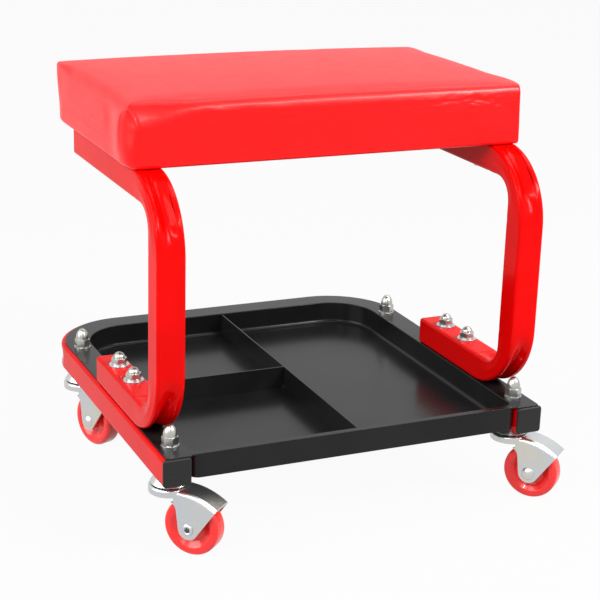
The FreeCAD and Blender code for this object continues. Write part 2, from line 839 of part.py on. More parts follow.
def caster_fork():
    foot = -axle_drop - plate_foot_radius
    outer, tip = channel(0, fork_half_width, foot - overrun, 1, fork_edge_radius)
    inner = channel(fork_sheet, fork_inside, foot - 2 * overrun, 1 + roof_overrun_share,
                    fork_edge_radius - fork_sheet)[0]
    cup_floor = fork_top - cup_depth
    waist = vector(plate_waist_from_stem, -plate_waist_drop, 0)
    tip_low = vector(tip.x, tip.z - tip_height, 0)
    foot_corner = meeting_point(waist, vector(trail, -axle_drop, 0), plate_foot_radius, tip_low)
    trim = side_profile(
        [
            (tip.x + overrun, overrun, 0),
            (tip.x + overrun, tip_low.y, 0),
            (tip_low.x, tip_low.y, 0),
            (foot_corner.x, foot_corner.y, plate_foot_radius),
            (waist.x, waist.y, plate_waist_radius),
            (0, cup_floor, plate_waist_radius),
            (-overrun, cup_floor, 0),
            (-overrun, overrun, 0),
        ],
        fork_half_width + overrun,
    )
    cup = rod(0, 0, cup_floor, fork_top, cup_radius)
    cup = cup.makeFillet(cup_edge_radius, edges_near(cup, lambda box: box.ZMin > fork_top - cup_edge_radius))
    cup_hollow = rod(0, 0, cup_floor - overrun, fork_top - fork_sheet, cup_radius - fork_sheet)
    body = outer.common(trim).fuse(cup).cut([cup_hollow, inner])
    pin_hole = rod(0, 0, fork_top - 2 * fork_sheet, overrun, pin_radius + running_clearance)
    groove = Part.makeTorus(ball_ring_radius, ball_radius + running_clearance, vector(0, 0, ball_level()), up)
    hole_start = vector(trail, -2 * fork_half_width, -axle_drop)
    axle_hole = Part.makeCylinder(rivet_radius, 4 * fork_half_width, hole_start, along_y)
    return body.cut([pin_hole, groove, axle_hole]).removeSplitter()


def caster_axle():
    # Rivet about Z: domed head above, hollow peened end below, moved to the axle line by the caller.
    half = fork_half_width
    sphere_radius = (rivet_head_radius ** 2 + rivet_head_height ** 2) / (2 * rivet_head_height)
    head = Part.makeSphere(sphere_radius, vector(0, 0, half + rivet_head_height - sphere_radius))
    head = head.common(rod(0, 0, half, half + rivet_head_height, rivet_head_radius))
    shank = rod(0, 0, -half, half, rivet_radius)
    peen = turned([(0, -half)] + [
        (peen_radius * radius_share, -half - peen_height * height_share)
        for radius_share, height_share in peen_shares
    ] + [(0, -half - peen_height * peen_shares[-1][1])])
    bore = rod(0, 0, -half - peen_height - overrun, -half / 2, peen_bore_radius)
    return head.fuse([shank, peen]).cut(bore).removeSplitter()


def caster_bush():
    return ring(0, 0, -bush_length / 2, bush_length, bush_radius, rivet_radius)


def caster_wheel():
    half = wheel_width / 2
    hub_half = fork_inside - hub_gap
    rim_inside = wheel_radius - wheel_rim
    web = half - wheel_recess
    dish_inside = rim_inside - wheel_dish_run
    body = turned([
        (bush_radius + running_clearance, -hub_half), (hub_radius, -hub_half), (hub_radius, -web),
        (dish_inside, -web), (rim_inside, -half), (wheel_radius, -half),
        (wheel_radius, half), (rim_inside, half), (dish_inside, web),
        (hub_radius, web), (hub_radius, hub_half), (bush_radius + running_clearance, hub_half),
    ])
    treads = [edge for edge in body.Edges if edge.BoundBox.XMax > wheel_radius - overrun / 2
              and edge.BoundBox.ZLength < overrun / 2]
    body = body.makeFillet(tread_edge_radius, [edge for edge in treads
                                               if edge.BoundBox.XMax > wheel_radius - tread_edge_radius / 2])
    rims = [edge for edge in body.Edges if abs(edge.BoundBox.XMax - rim_inside) < hub_gap
            and edge.BoundBox.ZLength < hub_gap and abs(edge.BoundBox.ZMin) > half - hub_gap]
    return body.makeFillet(wheel_edge_radius, rims)


def across_axle(shape, flip):
    # From the Z axis to the axle line, which lies along Y at the trail.
    turned_shape = shape.copy()
    quarter = full_circle / 4
    turned_shape.rotate(vector(0, 0, 0), along_x, -quarter if flip else quarter)
    turned_shape.translate(vector(trail, 0, -axle_drop))
    return turned_shape


stem = caster_stem()
race = caster_race()
balls = caster_balls()
fork = caster_fork()
axle = caster_axle()
bush = caster_bush()
wheel = caster_wheel()
corners = {
    "front_left": (-stem_x, stem_y[0]),
    "front_right": (stem_x, stem_y[0]),
    "rear_left": (-stem_x, stem_y[1]),
    "rear_right": (stem_x, stem_y[1]),
}
for corner_name, (x, y) in corners.items():

    def placed(shapes):
        result = []
        for shape in shapes:
            copy = shape.copy()
            copy.rotate(vector(0, 0, 0), up, headings[corner_name])
            copy.translate(vector(x, y, base_height))
            result.append(copy)
        return result

    write(corner_name + "_stem", placed([stem]))
    write(corner_name + "_race", placed([race]))
    write(corner_name + "_balls", placed(balls))
    write(corner_name + "_fork", placed([fork]))
    write(corner_name + "_axle", placed([across_axle(axle, corner_name in reversed_axles)]))
    write(corner_name + "_bush", placed([across_axle(bush, False)]))
    write(corner_name + "_wheel", placed([across_axle(wheel, False)]))
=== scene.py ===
import json
import math
from collections import namedtuple
import bmesh
import bpy
from mathutils import Matrix, Vector, noise
from mathutils.kdtree import KDTree


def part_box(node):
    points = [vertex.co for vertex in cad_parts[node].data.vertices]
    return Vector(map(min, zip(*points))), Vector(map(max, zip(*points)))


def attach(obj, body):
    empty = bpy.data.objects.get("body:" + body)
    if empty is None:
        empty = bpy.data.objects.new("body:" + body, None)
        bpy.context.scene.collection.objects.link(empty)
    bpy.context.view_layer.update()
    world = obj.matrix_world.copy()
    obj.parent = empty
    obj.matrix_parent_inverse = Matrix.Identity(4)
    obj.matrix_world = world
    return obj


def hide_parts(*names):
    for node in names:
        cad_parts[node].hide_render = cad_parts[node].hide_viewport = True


# low workshop seat: padded cushion on two bent arms, a tool tray in a bent base, four casters
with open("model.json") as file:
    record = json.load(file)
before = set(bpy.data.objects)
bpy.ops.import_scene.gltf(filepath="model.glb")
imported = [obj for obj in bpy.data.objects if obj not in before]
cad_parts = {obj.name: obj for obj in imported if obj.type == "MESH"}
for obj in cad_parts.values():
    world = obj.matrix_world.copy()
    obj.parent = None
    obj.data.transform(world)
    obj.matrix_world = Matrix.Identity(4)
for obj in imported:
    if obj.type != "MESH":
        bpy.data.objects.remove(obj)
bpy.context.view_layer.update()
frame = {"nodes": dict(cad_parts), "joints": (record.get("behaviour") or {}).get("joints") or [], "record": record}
nodes = frame["nodes"]
mm = 0.001
print("frame loaded,", len(nodes), "nodes")

# camera, at the photograph's angle

cameraView = {
    "place": (-0.58069, -1.32411, 0.62705),
    "azimuth": -24.379,
    "elevation": 17.969,
    "roll": 1.743,
    "focal": 1576.36 / 600,   # in picture widths
    "sensor": 36,
    "near": 0.05,
    "far": 60,
}


def makeCamera(view):
    turn, rise, roll = (math.radians(view[key]) for key in ("azimuth", "elevation", "roll"))
    back = Vector((math.sin(turn) * math.cos(rise), -math.cos(turn) * math.cos(rise), math.sin(rise)))
    level = Vector((0, 0, 1)).cross(back).normalized()
    upright = back.cross(level)
    across = level * math.cos(roll) + upright * math.sin(roll)
    above = upright * math.cos(roll) - level * math.sin(roll)
    data = bpy.data.cameras.new("camera")
    data.sensor_width = view["sensor"]
    data.lens = view["focal"] * view["sensor"]
    data.clip_start, data.clip_end = view["near"], view["far"]
    camera = bpy.data.objects.new("camera", data)
    bpy.context.collection.objects.link(camera)
    axes = Matrix((across, above, back)).transposed()
    camera.matrix_world = Matrix.Translation(view["place"]) @ axes.to_4x4()
    bpy.context.scene.camera = camera


makeCamera(cameraView)


# node trees: sums on a wire become Math nodes, anything else comes from add()

class Wire:
    def __init__(self, tree, socket=None):
        self.tree = tree
        self.socket = socket

    def add(self, kind, settings=None, inputs=None, output=0):
        node = self.tree.nodes.new(kind)
        for key, value in (settings or {}).items():
            if key == "items":
                while len(node.index_switch_items) < value:
                    node.index_switch_items.new()
            else:
                setattr(node, key, value)
        for key, value in (inputs or {}).items():
            if isinstance(value, Wire):
                self.tree.links.new(value.socket, node.inputs[key])
            else:
                node.inputs[key].default_value = value
        return Wire(self.tree, node.outputs[output] if node.outputs else None)

    def sibling(self, name):
        return Wire(self.tree, self.socket.node.outputs[name])

    def maths(self, operation, *terms):
        return self.add("ShaderNodeMath", {"operation": operation}, dict(enumerate(terms)))

    def __add__(self, other):
        return self.maths("ADD", self, other)

    def __radd__(self, other):
        return self.maths("ADD", other, self)

    def __sub__(self, other):
        return self.maths("SUBTRACT", self, other)

    def __rsub__(self, other):
        return self.maths("SUBTRACT", other, self)

    def __mul__(self, other):
        return self.maths("MULTIPLY", self, other)

    def __pow__(self, other):
        return self.maths("POWER", self, other)

    def __gt__(self, other):
        return self.maths("GREATER_THAN", self, other)

    def between(self, low, high):
        # 0 below low, 1 above high, smooth in between
        return self.add("ShaderNodeMapRange", {"interpolation_type": "SMOOTHSTEP"},
                        {"Value": self, "From Min": low, "From Max": high})


# finishes: one settings dictionary and one function each, with texture scales per metre

def startFinish(name):
    material = bpy.data.materials.new(name)
    material.use_nodes = True
    material.node_tree.nodes.clear()
    start = Wire(material.node_tree)
    place = start.add("ShaderNodeTexCoord", output="Object")
    return material, place


def cloud(place, scale, detail=2.0, distortion=0.0):
    return place.add("ShaderNodeTexNoise", {}, {"Vector": place, "Scale": scale, "Detail": detail,
                                                "Distortion": distortion})


def cells(place, scale, feature="F1"):
    return place.add("ShaderNodeTexVoronoi", {"feature": feature}, {"Vector": place, "Scale": scale},
                     "Distance")


def stretched(place, scale, spin=(0, 0, 0)):
    return place.add("ShaderNodeMapping", {}, {"Vector": place, "Scale": scale, "Rotation": spin})


def blendColor(share, first, second):
    inputs = {0: share}
    for socket, shade in ((6, first), (7, second)):
        inputs[socket] = (*shade, 1) if isinstance(shade, tuple) else shade
    return share.add("ShaderNodeMix", {"data_type": "RGBA"}, inputs, 2)


def closeFinish(material, color, roughness, height, look):
    normal = height.add("ShaderNodeBevel", {"samples": 4}, {"Radius": look["edgeRadius"]})
    bump = height.add("ShaderNodeBump", {}, {"Strength": look["bumpStrength"], "Distance": look["bumpDepth"],
                                             "Height": height, "Normal": normal})
    sockets = {"Base Color": color, "Roughness": roughness, "Normal": bump, "Metallic": look["metallic"],
               "Specular IOR Level": look["specular"]}
    if "coat" in look:
        sockets["Coat Weight"] = look["coat"]
        sockets["Coat Roughness"] = look["coatRoughness"]
    shader = height.add("ShaderNodeBsdfPrincipled", {}, sockets)
    height.add("ShaderNodeOutputMaterial", {}, {"Surface": shader})
    return material


bakedCoat = {
    "peelScale": 420, "waveScale": 95, "cloudScale": 14, "nibScale": 130, "nibPatchScale": 31,
    "edgeRadius": 0.5 * mm, "bumpStrength": 0.4, "bumpDepth": 0.02 * mm, "metallic": 0.0,
}
redEnamel = {
    **bakedCoat, "color": (0.76, 0.0012, 0.0011), "thin": (0.66, 0.0008, 0.0008), "roughness": 0.13,
    "specular": 0.03, "coat": 0.08, "coatRoughness": 0.03,
}
blackEnamel = {
    **bakedCoat, "color": (0.012, 0.012, 0.0125), "thin": (0.008, 0.008, 0.0085), "roughness": 0.22,
    "specular": 0.15, "coat": 0.05, "coatRoughness": 0.1,
}


def enamel(name, look):
    # baked enamel: orange peel, faint clouding, a few nibs of dust under the paint
    material, place = startFinish(name)
    peel = cloud(place, look["peelScale"], 2.5)
    wave = cloud(place, look["waveScale"], 1.0)
    clouding = cloud(place, look["cloudScale"], 3.0)
    nibs = cells(place, look["nibScale"])
    nib = (1 - nibs.between(0.02, 0.07)) * cloud(place, look["nibPatchScale"], 1.0).between(0.58, 0.66)
    color = blendColor(clouding.between(0.3, 0.75), look["thin"], look["color"])
    color = blendColor(clouding * 0.2 + 0.8, look["thin"], color)
    roughness = look["roughness"] + peel * 0.05 + nib * 0.1
    height = peel * 0.55 + wave * 1.4 + nib * 2.2
    return closeFinish(material, color, roughness, height, look)


blackPlasticLook = {
    "color": (0.012, 0.012, 0.0125), "pale": (0.022, 0.022, 0.023), "roughness": 0.42,
    "sparkScale": 1300, "rubScale": (60, 60, 320), "grainScale": 800,
    "edgeRadius": 0.4 * mm, "bumpStrength": 0.6, "bumpDepth": 0.05 * mm,
    "metallic": 0.0, "specular": 0.25,
}


def mouldedBlack(name, look):
    # spark-eroded mould texture, with a few paler rubs
    material, place = startFinish(name)
    sparks = cells(place, look["sparkScale"], "SMOOTH_F1")
    rubs = cloud(stretched(place, look["rubScale"]), 1.0, 4.0).between(0.6, 0.78)
    grain = cloud(place, look["grainScale"], 3.0)
    color = blendColor(rubs * 0.6 + grain * 0.2, look["color"], look["pale"])
    roughness = look["roughness"] + grain * 0.12 - rubs * 0.08
    height = sparks * 0.7 + grain * 0.5
    return closeFinish(material, color, roughness, height, look)


zincLook = {
    "color": (0.56, 0.58, 0.6), "warm": (0.6, 0.58, 0.51), "dull": (0.4, 0.42, 0.44), "roughness": 0.22,
    "rolledScale": (90, 900, 900), "rolledSpin": (0.3, 0.2, 0.9), "tintScale": 38,
    "markScale": (1500, 130, 400), "markSpin": (0.1, 0.5, 0.4),
    "edgeRadius": 0.35 * mm, "bumpStrength": 0.5, "bumpDepth": 0.02 * mm,
    "metallic": 1.0, "specular": 0.5,
}


def zincPlate(name, look):
    # bright zinc: rolled-sheet streaks under the plating, slight blue and straw tints, small tool marks
    material, place = startFinish(name)
    rolled = cloud(stretched(place, look["rolledScale"], look["rolledSpin"]), 1.0, 3.0)
    tint = cloud(place, look["tintScale"], 2.0, 0.8)
    marks = cloud(stretched(place, look["markScale"], look["markSpin"]), 1.0, 4.0).between(0.66, 0.74)
    color = blendColor(tint.between(0.42, 0.7), look["color"], look["warm"])
    color = blendColor(marks * 0.5 + rolled.between(0.5, 0.8) * 0.25, color, look["dull"])
    roughness = look["roughness"] + rolled * 0.14 + marks * 0.12 + tint * 0.04
    height = rolled * 0.8 + marks * -0.6
    return closeFinish(material, color, roughness, height, look)


polishedLook = {
    "color": (0.47, 0.46, 0.43), "dull": (0.33, 0.32, 0.3), "roughness": 0.24,
    "dingScale": 620, "latheScale": (60, 60, 2600), "hazeScale": 160,
    "edgeRadius": 0.35 * mm, "bumpStrength": 0.35, "bumpDepth": 0.02 * mm,
    "metallic": 1.0, "specular": 0.5,
}


def polishedSteel(name, look):
    # tumbled and plated steel: shiny, with fine lathe rings and small dings
    material, place = startFinish(name)
    ding = 1 - cells(place, look["dingScale"]).between(0.05, 0.3)
    lathe = cloud(stretched(place, look["latheScale"]), 1.0, 2.0)
    haze = cloud(place, look["hazeScale"], 3.0)
    color = blendColor(haze.between(0.45, 0.75) * 0.6, look["color"], look["dull"])
    roughness = look["roughness"] + haze * 0.06 + lathe * 0.04
    height = lathe * 0.4 + ding * -0.5
    return closeFinish(material, color, roughness, height, look)


redPlasticLook = {
    "color": (0.92, 0.02, 0.016), "deep": (0.84, 0.012, 0.01), "scuff": (0.95, 0.13, 0.11),
    "ringWaves": 2600, "wanderScale": 60, "wander": 5, "scuffScale": (70, 1400, 70), "mottleScale": 90,
    "roughness": 0.24,
    "partingEdge": (0.12 * mm, 0.5 * mm), "treadEdge": (24.6 * mm, 25.4 * mm),
    "edgeRadius": 0.5 * mm, "bumpStrength": 0.5, "bumpDepth": 0.05 * mm,
    "metallic": 0.0, "specular": 0.42, "coat": 0.35, "coatRoughness": 0.07,
}


def mouldedWheel(name, look, centre, heading):
    # injection-moulded wheel, seen from its own axle: flow rings, a parting line on the tread, light scuffs
    material, place = startFinish(name)
    moved = place.add("ShaderNodeVectorMath", {"operation": "SUBTRACT"}, {0: place, 1: centre})
    own = moved.add("ShaderNodeVectorRotate", {"rotation_type": "Z_AXIS"},
                    {"Vector": moved, "Angle": -heading})
    parts = own.add("ShaderNodeSeparateXYZ", {}, {0: own})
    x, y, z = parts, parts.sibling("Y"), parts.sibling("Z")
    radius = (x * x + z * z) ** 0.5
    wander = cloud(own, look["wanderScale"], 2.0) * look["wander"]
    rings = radius.maths("SINE", radius * look["ringWaves"] + wander)
    parting = 1 - y.maths("ABSOLUTE", y).between(*look["partingEdge"])
    tread = radius.between(*look["treadEdge"])
    scuffs = cloud(stretched(own, look["scuffScale"]), 1.0, 4.0).between(0.56, 0.7) * tread
    mottle = cloud(own, look["mottleScale"], 3.0)
    color = blendColor(mottle.between(0.35, 0.7), look["deep"], look["color"])
    color = blendColor(scuffs * 0.5, color, look["scuff"])
    roughness = look["roughness"] + mottle * 0.08 + scuffs * 0.2
    height = rings * 0.12 + mottle * 0.6 + parting * tread * 1.6 + scuffs * -0.3
    return closeFinish(material, color, roughness, height, look)


plywoodLook = {
    "color": (0.6, 0.42, 0.24), "late": (0.42, 0.26, 0.13), "pore": (0.25, 0.15, 0.08), "roughness": 0.62,
    "waveScale": (3, 22, 90), "ringWaves": 26, "poreScale": (70, 1900, 500),
    "edgeRadius": 0.3 * mm, "bumpStrength": 0.5, "bumpDepth": 0.08 * mm,
    "metallic": 0.0, "specular": 0.3,
}


def plywood(name, look):
    # rotary-cut veneer: long flat waves of late wood, and short dark pores along them
    material, place = startFinish(name)
    wave = cloud(stretched(place, look["waveScale"]), 1.0, 4.0, 1.6)
    bands = wave.maths("SINE", wave * look["ringWaves"]) * 0.5 + 0.5
    pores = cloud(stretched(place, look["poreScale"]), 1.0, 2.0).between(0.64, 0.72)
    color = blendColor(bands.between(0.2, 0.95) * 0.7, look["color"], look["late"])
    color = blendColor(pores * 0.7, color, look["pore"])
    roughness = look["roughness"] + bands * 0.08
    height = bands * 0.4 + pores * -0.8
    return closeFinish(material, color, roughness, height, look)


vinylLook = {
    # the last colour is painted sheen: a paler red for the top, standing in for the reflection the top shows
    "color": (0.96, 0.005, 0.006), "deep": (0.9, 0.003, 0.0035), "paintedTopSheen": (0.96, 0.028, 0.031),
    "warpScale": 70, "pebbleScale": 880, "pebbleSoft": 0.7, "creaseScale": 610,
    "pullScale": (16, 16, 330), "toneScale": 9, "roughness": 0.29,
    # levels below the cover's highest point: the pulled lines fade out, the duller top with its painted sheen sets
    # in
    "pullFade": (18 * mm, 12 * mm), "topFade": (7 * mm, 3.5 * mm), "topDull": 0.1, "topCoatLoss": 0.7,
    "edgeRadius": 0.2 * mm, "bumpStrength": 0.6, "bumpDepth": 0.09 * mm,
    "metallic": 0.0, "specular": 0.19, "coatOnEdges": 0.1, "coatRoughness": 0.14,
}


def grainedVinyl(name, look, highest):
    # vinyl stretched over foam: embossed pebble grain with painted shade in its creases, pulled lines round the
    # sides, a duller top whose paler colour is a painted sheen
    material, place = startFinish(name)
    warped = cloud(place, look["warpScale"], 1.0)
    pebbles = place.add("ShaderNodeTexVoronoi", {"feature": "SMOOTH_F1"},
                        {"Vector": place, "Scale": look["pebbleScale"], "Smoothness": look["pebbleSoft"]},
                        "Distance")
    creases = cells(place, look["creaseScale"], "DISTANCE_TO_EDGE").between(0.0, 0.12)
    pulled = cloud(stretched(place, look["pullScale"]), 1.0, 3.0, 0.4)
    height = place.add("ShaderNodeSeparateXYZ", {}, {0: place}).sibling("Z")
    sides = 1 - height.between(*(highest - below for below in look["pullFade"]))
    pulls = pulled.between(0.52, 0.8) * sides
    top = height.between(*(highest - below for below in look["topFade"]))
    tone = cloud(place, look["toneScale"], 3.0)
    # painted shade: the grain's crease lines are blended towards the deeper red, besides the random tone
    color = blendColor(tone.between(0.25, 0.75) * 0.6 + creases * 0.4, look["deep"], look["color"])
    # painted sheen: the top is blended towards a paler red in place of its reflection
    color = blendColor(top * (0.75 + warped * 0.25), color, look["paintedTopSheen"])
    roughness = look["roughness"] + warped * 0.08 - pulls * 0.08 + (1 - creases) * 0.08
    roughness = roughness + top * look["topDull"]
    relief = pebbles * -0.55 + creases * 0.4 + pulls * 1.3 + warped * 0.5
    coat = (1 - top * look["topCoatLoss"]) * look["coatOnEdges"]
    return closeFinish(material, color, roughness, relief, {**look, "coat": coat})


redPaint = enamel("redPaint", redEnamel)
blackPaint = enamel("blackPaint", blackEnamel)
blackPlastic = mouldedBlack("blackPlastic", blackPlasticLook)
brightZinc = zincPlate("brightZinc", zincLook)
polished = polishedSteel("polishedSteel", polishedLook)
boardPly = plywood("boardPly", plywoodLook)
coverLow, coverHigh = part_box("seat_cover")
redVinyl = grainedVinyl("redVinyl", vinylLook, coverHigh[2])
finishOfSlot = {
    "red_paint": redPaint, "black_paint": blackPaint, "black_plastic": blackPlastic,
    "bright_zinc": brightZinc, "polished_steel": polished, "red_vinyl": redVinyl,
    "plywood": boardPly, "foam": redVinyl,
}
corners = ("front_left", "front_right", "rear_left", "rear_right")
slotOfNode = {part["node"]: part["material_slot"] for part in frame["record"]["subparts"]}


def dress(node, material):
    for holder in nodes[node].material_slots:
        holder.material = material


for node, slotName in slotOfNode.items():
    if slotName in finishOfSlot:
        dress(node, finishOfSlot[slotName])
print("finishes made")


# wheels: one turned profile for all four, worked out by geometry nodes from its radii and half widths

wheelForm = {
    "Tread Radius": 25.8 * mm, "Half Width": 8 * mm, "Rim Inside": 19.2 * mm, "Dish Inside": 13.2 * mm,
    "Web": 3.8 * mm, "Hub Radius": 8.5 * mm, "Hub Half": 10.7 * mm, "Bore": 5.05 * mm,
    "Hub Edge": 0.4 * mm, "Hub Root": 1 * mm, "Dish Bend": 4.5 * mm, "Rim Edge": 3.4 * mm,
    "Tread Edge": 3.2 * mm, "Bend Steps": 7, "Round Steps": 112,
}
wheelOwn = {"Heading": "NodeSocketFloat", "Centre": "NodeSocketVector", "Finish": "NodeSocketMaterial"}


def wheelGroup(form):
    group = bpy.data.node_groups.new("wheelForm", "GeometryNodeTree")
    for name, value in form.items():
        kind = "NodeSocketInt" if isinstance(value, int) else "NodeSocketFloat"
        socket = group.interface.new_socket(name, in_out="INPUT", socket_type=kind)
        socket.default_value = value
    for name, kind in wheelOwn.items():
        group.interface.new_socket(name, in_out="INPUT", socket_type=kind)
    group.interface.new_socket("Wheel", in_out="OUTPUT", socket_type="NodeSocketGeometry")
    given = Wire(group).add("NodeGroupInput", {})

    # six profile points from bore to tread, and the same six back on the other side
    count = 12
    index = given.add("GeometryNodeInputIndex")
    mirrored = index > (count / 2 - 0.5)
    own = index + mirrored * ((count - 1) - index * 2)

    def chosen(names):
        values = {k + 1: given.sibling(name) for k, name in enumerate(names) if name}
        settings = {"data_type": "FLOAT", "items": len(names)}
        return given.add("GeometryNodeIndexSwitch", settings, {0: own, **values})

    radius = chosen(["Bore", "Hub Radius", "Hub Radius", "Dish Inside", "Rim Inside", "Tread Radius"])
    reach = chosen(["Hub Half", "Hub Half", "Web", "Web", "Half Width", "Half Width"])
    rounding = chosen([None, "Hub Edge", "Hub Root", "Dish Bend", "Rim Edge", "Tread Edge"])
    outwards = radius - given.sibling("Tread Radius")
    spot = given.add("ShaderNodeCombineXYZ", {}, {0: outwards, 1: reach * (mirrored * 2 - 1)})
    line = given.add("GeometryNodeMeshLine", {}, {"Count": count})
    placed = given.add("GeometryNodeSetPosition", {}, {"Geometry": line, "Position": spot})
    curve = given.add("GeometryNodeMeshToCurve", {}, {"Mesh": placed})
    closed = given.add("GeometryNodeSetSplineCyclic", {}, {"Geometry": curve, "Cyclic": True})
    rounded = given.add("GeometryNodeFilletCurve", {"mode": "POLY"},
                        {"Curve": closed, "Radius": rounding, "Count": given.sibling("Bend Steps"),
                         "Limit Radius": True})
    circle = given.add("GeometryNodeCurvePrimitiveCircle", {},
                       {"Resolution": given.sibling("Round Steps"), "Radius": given.sibling("Tread Radius")})
    swept = given.add("GeometryNodeCurveToMesh", {}, {"Curve": circle, "Profile Curve": rounded})
    upright = given.add("GeometryNodeTransform", {}, {"Geometry": swept, "Rotation": (math.pi / 2, 0, 0)})
    turn = given.add("ShaderNodeCombineXYZ", {}, {2: given.sibling("Heading")})
    turned = given.add("GeometryNodeTransform", {}, {"Geometry": upright, "Rotation": turn,
                                                     "Translation": given.sibling("Centre")})
    smooth = given.add("GeometryNodeSetShadeSmooth", {}, {"Geometry": turned})
    realized = given.add("GeometryNodeRealizeInstances", {}, {"Geometry": smooth})
    dressed = given.add("GeometryNodeSetMaterial", {},
                        {"Geometry": realized, "Material": given.sibling("Finish")})
    given.add("NodeGroupOutput", {}, {0: dressed})
    return group


def makeWheel(corner, group):
    joint = next(j for j in frame["joints"] if j["name"] == corner + "_spin")
    axis = joint["axis"]
    heading = math.atan2(-axis[0], axis[1])
    finish = mouldedWheel("wheelRed_" + corner, redPlasticLook, Vector(joint["pos_m"]), heading)
    dress(corner + "_wheel", finish)
    holder = bpy.data.objects.new("wheelSource", bpy.data.meshes.new("wheelSource"))
    bpy.context.collection.objects.link(holder)
    modifier = holder.modifiers.new("form", "NODES")
    modifier.node_group = group
    given = {"Heading": heading, "Centre": joint["pos_m"], "Finish": finish, **wheelForm}
    for item in group.interface.items_tree:
        if item.in_out == "INPUT":
            modifier[item.identifier] = given[item.name]
    graph = bpy.context.evaluated_depsgraph_get()
    data = bpy.data.meshes.new_from_object(holder.evaluated_get(graph))
    bpy.data.objects.remove(holder)
    made = bmesh.new()
    made.from_mesh(data)
    bmesh.ops.recalc_face_normals(made, faces=made.faces)
    made.to_mesh(data)
    made.free()
    wheel = bpy.data.objects.new(corner + "WheelForm", data)
    bpy.context.collection.objects.link(wheel)
    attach(wheel, corner + "_roller")
    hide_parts(corner + "_wheel")
    return wheel


wheelNodes = wheelGroup(wheelForm)
for corner in corners:
    wheel = makeWheel(corner, wheelNodes)
print("wheels made,", len(wheel.data.polygons), "faces each")


# cushion: foam and board wrapped in vinyl, pulled under the board

corner2d = [(1, -1), (1, 1), (-1, 1), (-1, -1)]   # front right, rear right, rear left, front left
cushion = {
    "proud": 0.8 * mm,            # the vinyl's sides stand out past the solid by this
    "tucked": 0.3 * mm,           # and its front and rear stand in by this
    # plan radii at each corner, along the side and along the front, at the board and at the top
    "cornerLow": [(20 * mm, 5.5 * mm), (29 * mm, 8 * mm), (30 * mm, 8 * mm), (22 * mm, 7.3 * mm)],
    "cornerHigh": [(26 * mm, 7 * mm), (15 * mm, 4 * mm), (15 * mm, 4 * mm), (5 * mm, 2.5 * mm)],
    "leastRadius": 0.8 * mm,
    "archTop": 7 * mm,            # the folds end this far below the top edge
    "archRise": [(50 * mm, 50 * mm), (44 * mm, 44 * mm), (44 * mm, 44 * mm), (9 * mm, 16 * mm)],
    # top edges as height, depth and power, which is 2 for round and 1 for a straight bevel
    "edgeSide": (9 * mm, 9 * mm, 2),
    "edgeRear": (5.5 * mm, 5.5 * mm, 2),
    "edgeFront": (10 * mm, 8 * mm, 1.8),
    "edgeSideEnds": [(3 * mm, 3 * mm, 2), (4 * mm, 4 * mm, 2), (3.5 * mm, 3.5 * mm, 2),
                     (8 * mm, 8 * mm, 2)],
    "edgeFrontEnds": [(10 * mm, 5.5 * mm, 1.6), (23 * mm, 13 * mm, 1.35)],   # right end, left end
    "edgeFrontFade": [50 * mm, 70 * mm], "edgeSideFade": 45 * mm,   # from a corner's edge to the wall's own
    "crown": 4 * mm, "crownPower": 0.8, "crownDepth": 14 * mm, "cornerDrop": 2 * mm,
    "drawIn": 1.6 * mm, "drawInPower": 0.8, "drawInAtCorner": 6,   # the walls sink in between the corners
    # underside, where the cover is turned in below the board
    "board": 14 * mm, "lift": 0.05 * mm, "bottomEdge": 3 * mm, "turnUnder": 32 * mm, "pocket": 6 * mm,
    "hemLean": 1 * mm, "hemRise": 0.6 * mm, "hemRound": 0.5 * mm,
    # flat fold at the front left
    "foldPower": 1.4, "foldFade": 20 * mm,             # power as for the edges
    "foldBulge": 4 * mm, "foldBulgeRun": 24 * mm, "foldBulgePower": 0.6,   # the left wall swells beside it
    "foldDepth": 0.4 * mm, "foldDepthAtBoard": 0.1 * mm,   # valley where the wall goes in behind it
    "foldPlace": 0.3, "foldWidth": 0.2,                # 0 at the left wall and 1 at the front
    "creaseDepth": 0.9 * mm, "creaseWidth": 1.2 * mm,      # crease where it meets the front
    "lineStart": 1 * mm, "lineFade": 9 * mm, "lineEnd": 3 * mm,
    # rings and columns of the mesh
    "cornerCount": 26, "frontCount": 190, "sideCount": 84, "crowding": 0.1,
    "underRings": [26 * mm, 20 * mm, 14 * mm, 9 * mm, 5 * mm],
    "bottomCount": 5, "wallCount": 48, "edgeCount": 9,
    "topFirst": 27 * mm, "topStep": 5 * mm, "topLast": 4 * mm, "topBlend": (0.25, 0.5, 0.75),
    "topSoft": 9 * mm, "softGrowth": 0.5, "softLimit": 0.6,
    "fill": 0.9,
}
# short level wrinkles on the front, below its top edge
wrinkles = {
    "depth": 0.6 * mm,
    # start, fade in, end and fade out, measured down from the top edge and outwards from the middle
    "band": (6 * mm, 4 * mm, 19 * mm, 8 * mm),
    "right": (50 * mm, 70 * mm, 165 * mm, 20 * mm),
    "left": (20 * mm, 50 * mm, 100 * mm, 50 * mm),
    "leftShare": 0.45, "everywhere": 0.15,
    # strength, waves per metre across and up, lean, seed
    "layers": [(1.0, 62, 330, 9, 3.7), (0.7, 120, 620, -14, 8.1)],
}
swell = {
    "voxel": 5 * mm, "pressure": 1.2, "stiffness": 70, "bending": 8, "frames": 14, "cap": 1.1 * mm,
    "pinned": 16 * mm, "neighbours": 10, "softening": 1 * mm,
}
Column = namedtuple("Column", "kind number share edge way distance")


def eased(value):
    share = min(max(value, 0.0), 1.0)
    return share * share * (3 - 2 * share)


def zone(value, start, fadeIn, end, fadeOut):
    return eased((value - start) / fadeIn) * (1 - eased((value - end) / fadeOut))


def mixed(first, second, share):
    return tuple(a + (b - a) * share for a, b in zip(first, second))


